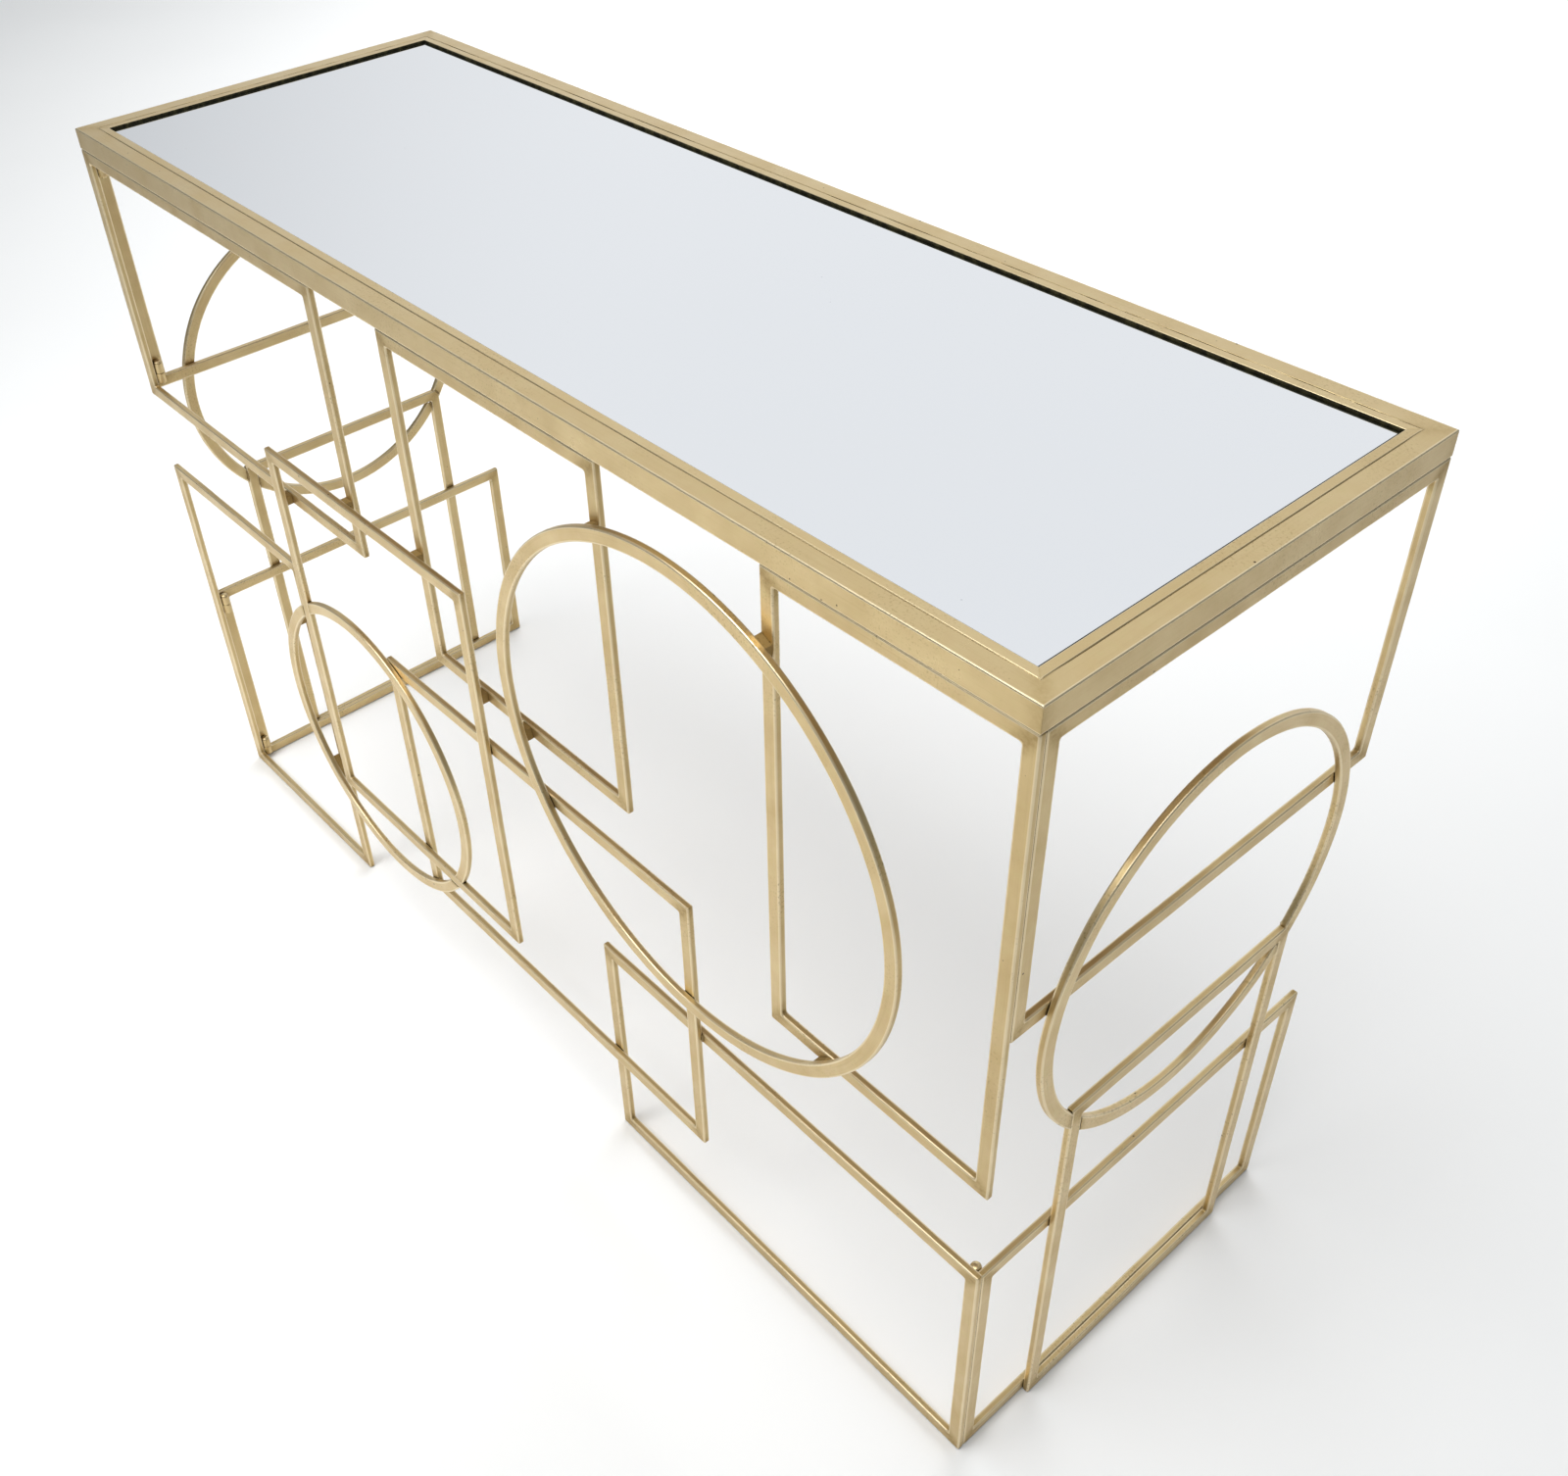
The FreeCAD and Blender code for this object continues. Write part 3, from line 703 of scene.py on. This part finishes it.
class VANITY_OT_front_rings(bpy.types.Operator):
    """Large whole ring and small cut ring of the front panel"""
    bl_idname = "vanity.front_rings"
    bl_label = "Front Rings"

    def execute(self, context):
        bar_piece("ring_large", "root", "front_ring_large", whole_ring, FACES_FRONT)
        bar_piece("ring_small", "root", "front_ring_small", stopped_ring, FACES_FRONT,
                  "front_frame_middle_left")
        return {"FINISHED"}


class VANITY_OT_end_panels(bpy.types.Operator):
    """Three welded frames and a cut ring in each end panel"""
    bl_idname = "vanity.end_panels"
    bl_label = "End Panels"

    def execute(self, context):
        for number, end in enumerate(ENDS):
            body = end + "_end"
            for count, name in enumerate(END_FRAMES):
                bar_piece(f"{end}_frame_{name}", body, f"{body}_frame_{name}", welded_frame, FACES_SIDE,
                          31 + 5 * number + count)
            bar_piece(end + "_ring", body, body + "_ring", stopped_ring, FACES_SIDE, body + "_frame_middle")
        return {"FINISHED"}


def crossing_beads(pile, upper, lower, normal_axis, seed):
    """A bead down one side of each place where an upright bar of one frame crosses a level bar of the
    other, in the corner between the two bars' faces."""
    width, radius = sizes().bar_width, sizes().bead
    half, clear = 0.36 * width, width / 2 + 0.3 * radius
    (upper_low, upper_high), (lower_low, _) = box_of(upper), box_of(lower)
    touch = (upper_low if upper_low[normal_axis] > lower_low[normal_axis] else upper_high)[normal_axis]
    for first, second, across, along in ((upper, lower, (clear, 0.0), (0.0, half)),
                                         (lower, upper, (0.0, -clear), (half, 0.0))):
        (a_low, a_high), (b_low, b_high) = flat_box(first, normal_axis), flat_box(second, normal_axis)
        for x in (a_low[0] + width / 2, a_high[0] - width / 2):
            for z in (b_low[1] + width / 2, b_high[1] - width / 2):
                if a_low[1] + width < z < a_high[1] - width and b_low[0] + width < x < b_high[0] - width:
                    middle = np.array([x, z]) + across
                    start, end = into_panel(middle + np.outer([-1, 1], along), touch, normal_axis)
                    bead(pile, start, end, radius, seed)
                    seed += 1


def arc_beads(pile, ring, stop, normal_axis, seed):
    """A bead across the back of each place where a cut ring meets its frame."""
    middle, radius = circle_of(ring, normal_axis)
    back = min((corner[normal_axis] for corner in box_of(ring)), key=abs)
    reach = radius - np.array([0.2, 0.8]) * sizes().bar_width
    starts, ends = free_spans(middle, reach, stop, normal_axis)
    for number, angles in enumerate((*starts, *ends)):
        plane = middle + reach[:, None] * on_circle(angles)
        first, last = into_panel(plane, back, normal_axis)
        bead(pile, first, last, 0.8 * sizes().bead, seed + number)


class VANITY_OT_welds(bpy.types.Operator):
    """Weld beads where bars and rings meet, and the pads between crossing bars"""
    bl_idname = "vanity.welds"
    bl_label = "Welds"

    def execute(self, context):
        pile = Pile()
        for upper, lower in (("middle_right", "lower_right"), ("middle_right", "upper_middle"),
                             ("middle_left", "lower_left")):
            crossing_beads(pile, "front_frame_" + upper, "front_frame_" + lower, FACES_FRONT, 70)
        arc_beads(pile, "front_ring_small", "front_frame_middle_left", FACES_FRONT, 90)
        pile.piece("weld_beads_front", [weld_gilt()], "root", "gilt_bar")
        repaint("front_weld_pads", weld_gilt())
        for number, end in enumerate(ENDS):
            pile = Pile()
            body = end + "_end"
            for lower in ("_frame_upper", "_frame_lower"):
                crossing_beads(pile, body + "_frame_middle", body + lower, FACES_SIDE, 110 + 10 * number)
            arc_beads(pile, body + "_ring", body + "_frame_middle", FACES_SIDE, 140 + 10 * number)
            pile.piece("weld_beads_" + end, [weld_gilt()], body, "gilt_bar")
        return {"FINISHED"}


class VANITY_OT_hinges(bpy.types.Operator):
    """Domed hinge pins, and the finish of the knuckles they run through"""
    bl_idname = "vanity.hinges"
    bl_label = "Hinges"

    def execute(self, context):
        for end in ENDS:
            self.pins(end)
            repaint(end + "_hinge_front_knuckles", bar_gilt())
            repaint(end + "_hinge_end_knuckles", bar_gilt())
        return {"FINISHED"}

    def pins(self, end):
        """Each pin: a peened tail, a plain shank and a domed head, turned about the hinge axis.
        The head's outline is a quarter ellipse over a short rim."""
        node = end + "_hinge_pins"
        points = np.array([corner.co for corner in frame["nodes"][node].data.vertices])
        low, high = points.min(0), points.max(0)
        heights = np.unique(np.round(points[:, 2], 6))
        head, tip = (high - low)[0] / 2, 0.05 * MM
        t = np.linspace(0, np.pi / 2, 9)
        pile = Pile()
        for pin in np.split(heights, np.flatnonzero(np.diff(heights) > PIN_APART) + 1):
            foot, under = pin[0], pin[-1] - PIN_HEAD
            dome = np.stack([np.cos(t) * head, under + PIN_RIM + (PIN_HEAD - PIN_RIM) * np.sin(t)], -1)
            dome[-1, 0] = tip
            tail = [(tip, foot), (0.8 * PIN_SHANK, foot), (0.96 * PIN_SHANK, foot + 0.3 * MM),
                    (PIN_SHANK, foot + 0.8 * MM)]
            rim = [(PIN_SHANK, under - 0.2 * MM), (PIN_SHANK, under), (0.97 * head, under),
                   (head, under + 0.25 * MM)]
            turned(pile, [*tail, *rim, *dome], (low + high)[:2] / 2, edge=0.2)
        pile.piece(end + "_pins", [worn_steel_pin()], frame["nodes"][node]["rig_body"], "hinge_pin", node)


def smooth(value):
    """Smooth step from 0 to 1."""
    value = np.clip(value, 0, 1)
    return value * value * (3 - 2 * value)


def width_of(node):
    """How far a bar along the front reaches from front to back."""
    low, high = box_of(node)
    return (high - low)[1]


class VANITY_OT_top_rails(bpy.types.Operator):
    """Outer rails of the top: mitred box section, welded and ground, with half of the V-groove"""
    bl_idname = "vanity.top_rails"
    bl_label = "Top Rails"

    def execute(self, context):
        s = sizes()
        nodes = ["top_rail_" + side for side in SIDES]
        low, high = box_of(*nodes)
        wide = width_of("top_rail_front")
        half = s.groove / 2

        def section(drop, round_below):
            """Box section measured in from outside, its inner top edge cut down by a drop."""
            return rounded_outline([(0, low[2]), (0, high[2]), (wide - half, high[2]), (wide, high[2] - drop),
                                    (wide, low[2])],
                                   [s.rail_round, s.rail_round, 0.2 * MM, round_below, s.rail_round])

        cut, _ = section(half, 0.2 * MM)
        shut, edge = section(0.05 * half, 0.02 * MM)
        pile = Pile()
        plane, k, reach = carried_round(low[:2], high[:2], cut[:, 0], s.rail_corner)
        opening = smooth((reach - wide) / s.groove_stop)[:, None]
        points = into_panel(plane, shut[:, 1] + (cut - shut)[:, 1] * opening, FACES_UP)
        weld = 0.6 * np.exp(-(reach / RAIL_WELD) ** 2)[:, None]
        # Only the outer two of the five edges get the painted highlight
        edge = edge * (np.arange(len(edge)) < len(edge) * 2 // 5)
        drawn_bar(pile, points, cut, 0.25 * s.waviness, edge=edge, weld=weld, tone=side_tone(5, k)[:, None])
        pile.piece("top_rails", [top_gilt()], "root", "gilt_top", *nodes)
        return {"FINISHED"}


class VANITY_OT_top_strips(bpy.types.Operator):
    """Inner angle strips of the top, with fine mitre lines and a ledge under the board"""
    bl_idname = "vanity.top_strips"
    bl_label = "Top Strips"

    def execute(self, context):
        s = sizes()
        nodes = ["top_strip_" + side for side in SIDES]
        low, high = box_of(*nodes)
        ledge_top = box_of("top_board")[0][2]
        wide = box_of("mirror_glass")[0][1] - STRIP_GAP - low[1]
        whole = width_of("top_strip_front")
        half = s.groove / 2

        def section(drop, round_below):
            """L-section measured in from outside, its outer top edge cut down by a drop."""
            return rounded_outline([(0, low[2]), (0, high[2] - drop), (half, high[2]), (wide, high[2]),
                                    (wide, ledge_top), (whole, ledge_top), (whole, low[2])],
                                   [0.3 * MM, round_below, 0.2 * MM, s.strip_round,
                                    0.2 * MM, 0.4 * MM, 0.4 * MM], steps=3, hold=0.2 * MM)

        cut, edge = section(half, 0.2 * MM)
        shut, _ = section(0.05 * half, 0.02 * MM)
        plane, k, reach = carried_round(low[:2], high[:2], cut[:, 0], 0.15 * MM)
        opening = smooth(reach / s.groove_stop)[:, None]
        line = np.exp(-(reach / STRIP_WELD) ** 2)[:, None]
        heights = (shut[:, 1] + (cut - shut)[:, 1] * opening
                   - s.mitre_dip * line * (cut[:, 1] > high[2] - 0.3 * MM))
        points = into_panel(plane, heights, FACES_UP)
        # The rebate's upright wall, below the rounded edge, gets the painted shade
        following = np.roll(cut, -1, axis=0)
        wall = ((cut[:, 0] > wide - 0.1 * MM) & (following[:, 0] > wide - 0.1 * MM)
                & (following[:, 1] < high[2] - s.strip_round * 0.9))
        pile = Pile()
        # The strips' painted highlight lies only on edges within 1.5 mm of the top, at 0.6 strength
        drawn_bar(pile, points, cut, 0.25 * s.waviness, slot=np.tile(wall.astype(int), len(k)),
                  edge=edge * 0.6 * (cut[:, 1] > high[2] - 1.5 * MM), weld=0.5 * line,
                  tone=side_tone(8, k)[:, None])
        pile.piece("top_strips", [top_gilt(), rebate_painted_shade()], "root", "gilt_top", *nodes)
        return {"FINISHED"}


class VANITY_OT_mirror(bpy.types.Operator):
    """Silvered mirror with a ground edge, lying on its fibreboard"""
    bl_idname = "vanity.mirror"
    bl_label = "Mirror and Board"

    def execute(self, context):
        s = sizes()
        low, high = box_of("mirror_glass")
        face = high[2] - s.mirror_set
        bevel = s.mirror_bevel
        # Loops from the back, out over the ground edge, to the silvering; a cap closes each end
        insets = np.array([1.0 * MM, 0.3 * MM, 0.0, 0.0, 0.25 * bevel, bevel, MIRROR_BORDER])
        heights = np.array([low[2], low[2], low[2] + 0.3 * MM, face - 0.6 * bevel, face - 0.18 * bevel,
                            face, face])
        plane, _, _ = carried_round(low[:2], high[:2], insets, 0.3 * MM, spacing=150 * MM)
        grid = into_panel(plane, heights, FACES_UP).transpose(1, 0, 2)
        pile = Pile()
        # Every face but the top one takes the border's painted shade
        pile.surface(grid, False, True, slot=1, cap_slots=(1, 0))
        silver = finish_of("mirror_float_glass_silvered", silvering)
        pile.piece("mirror", [silver, mirror_border_shade()], "root", "mirror", "mirror_glass")
        repaint("top_board", finish_of("fibreboard_pressed_sanded", fibreboard))
        return {"FINISHED"}


class VANITY_OT_fixings(bpy.types.Operator):
    """Finish of the tabs and screws that hold the top down"""
    bl_idname = "vanity.fixings"
    bl_label = "Tabs and Screws"

    def execute(self, context):
        repaint("top_tabs", bar_gilt())
        repaint("top_screws", finish_of("zinc_bright_plated", zinc))
        return {"FINISHED"}


class VANITY_OT_stage(bpy.types.Operator):
    """Matt white floor, large soft lights, a grey room and the camera"""
    bl_idname = "vanity.stage"
    bl_label = "Stage"

    def execute(self, context):
        self.floor()
        self.lights(context)
        self.room(context)
        self.camera(context)
        context.scene.view_settings.view_transform = "Standard"
        return {"FINISHED"}

    def floor(self):
        """Flat disc, twelve metres in radius, just under the feet."""
        rows, spokes = [0.01, 3.0, 12.0], 64
        rim = on_circle(np.linspace(0, TURN, spokes + 1)[:-1])
        points = into_panel(np.multiply.outer(rows, rim), 0.0, FACES_UP).reshape(-1, 3)
        faces, _, _ = grid_faces(len(rows), spokes, False, True)
        mesh = bpy.data.meshes.new("studio_floor")
        mesh.from_pydata(points.tolist(), [], [*faces[:, ::-1].tolist(), list(range(spokes))])
        mesh.materials.append(finish_of("floor_matt_white_paint", floor_paint))
        floor = bpy.data.objects.new("studio_floor", mesh)
        bpy.context.scene.collection.objects.link(floor)
        floor.location.z = -0.5 * MM

    def lights(self, context):
        """Big soft boxes: one overhead, one to the left for the floor that the front reflects, and one
        for the floor behind, which the mirror doesn't show."""
        for name, place, aim, size, spread, power, mirrored in (
                ("key_overhead", (0.1, -1.0, 3.0), (0.0, -0.5, 0.0), 2.2, 110, 27.0, True),
                ("fill_front_left", (-0.5, -2.2, 2.4), (-0.6, -0.9, 0.0), 1.2, 64, 3.2, True),
                ("floor_behind", (-1.9, 2.8, 3.4), (-1.8, 2.6, 0.0), 3.0, 110, 66.0, False)):
            light = bpy.data.lights.new(name, "AREA")
            light.shape, light.size, light.spread, light.energy = "SQUARE", size, np.radians(spread), power
            lamp = bpy.data.objects.new(name, light)
            context.scene.collection.objects.link(lamp)
            away = np.array(place) - np.array(aim)
            away = away / np.linalg.norm(away)
            lamp.location = place
            lamp.rotation_euler = (float(np.arccos(away[2])), 0.0,
                                   float(np.arctan2(away[1], away[0]) + np.pi / 2))
            lamp.visible_glossy = mirrored

    def room(self, context):
        """Grey room, palest behind and above to the left."""
        world = bpy.data.worlds.new("pale_room")
        context.scene.world = world
        world.use_nodes = True
        tree = world.node_tree
        tree.nodes.clear()
        way = add(tree, "TexCoord", out="Generated")
        toward = add(tree, "VectorMath", {0: way, 1: (-0.42, 0.72, 0.55)}, out="Value",
                     operation="DOT_PRODUCT")
        glow = add(tree, "MapRange", {"Value": toward, "From Min": 0.55, "From Max": 0.93},
                   interpolation_type="SMOOTHSTEP")
        tint = add(tree, "Mix", {0: glow, 6: linear("#7F8386"), 7: linear("#EFF1F4")},
                   out=2, data_type="RGBA")
        sky = add(tree, "Background", {"Color": tint, "Strength": 1.12})
        add(tree, "OutputWorld", {"Surface": sky})

    def camera(self, context):
        """Standing eye height in front of the right corner, looking down across the top."""
        data = bpy.data.cameras.new("camera")
        data.sensor_fit = "HORIZONTAL"
        data.sensor_width = 36.0
        data.lens = 37.117
        data.shift_x, data.shift_y = 0.03457, -0.01887
        data.clip_end = 50.0
        camera = bpy.data.objects.new("camera", data)
        context.scene.collection.objects.link(camera)
        camera.location = (0.98976, -0.72695, 1.33525)
        camera.rotation_euler = np.radians([50.4454, 1.9713, 48.8693]).tolist()
        context.scene.camera = camera


OPERATORS = (VANITY_OT_front_frames, VANITY_OT_front_rings, VANITY_OT_end_panels, VANITY_OT_welds,
             VANITY_OT_hinges, VANITY_OT_top_rails, VANITY_OT_top_strips, VANITY_OT_mirror,
             VANITY_OT_fixings, VANITY_OT_stage)


class VANITY_PT_panel(bpy.types.Panel):
    """Lists the table's pieces, sizes and colours"""
    bl_idname = "VANITY_PT_panel"
    bl_label = "Vanity Table"
    bl_space_type = "VIEW_3D"
    bl_region_type = "UI"
    bl_category = "Vanity"

    def draw(self, context):
        for operator in OPERATORS:
            self.layout.operator(operator.bl_idname)
        for group in (context.scene.vanity_sizes, context.scene.vanity_colours):
            for name in group.__annotations__:
                self.layout.prop(group, name)


CLASSES = (VanitySizes, VanityColours, *OPERATORS, VANITY_PT_panel)


def register():
    """Add the classes and the scene's settings."""
    for item in CLASSES:
        bpy.utils.register_class(item)
    bpy.types.Scene.vanity_sizes = bpy.props.PointerProperty(type=VanitySizes)
    bpy.types.Scene.vanity_colours = bpy.props.PointerProperty(type=VanityColours)


def unregister():
    """Take the settings and the classes away again."""
    del bpy.types.Scene.vanity_colours
    del bpy.types.Scene.vanity_sizes
    for item in reversed(CLASSES):
        bpy.utils.unregister_class(item)


def main():
    """Register the classes, then build every piece in order."""
    register()
    for operator in OPERATORS:
        group, name = operator.bl_idname.split(".")
        if getattr(getattr(bpy.ops, group), name)() != {"FINISHED"}:
            raise RuntimeError(operator.bl_label + " did not finish")


if __name__ == "__main__":
    main()
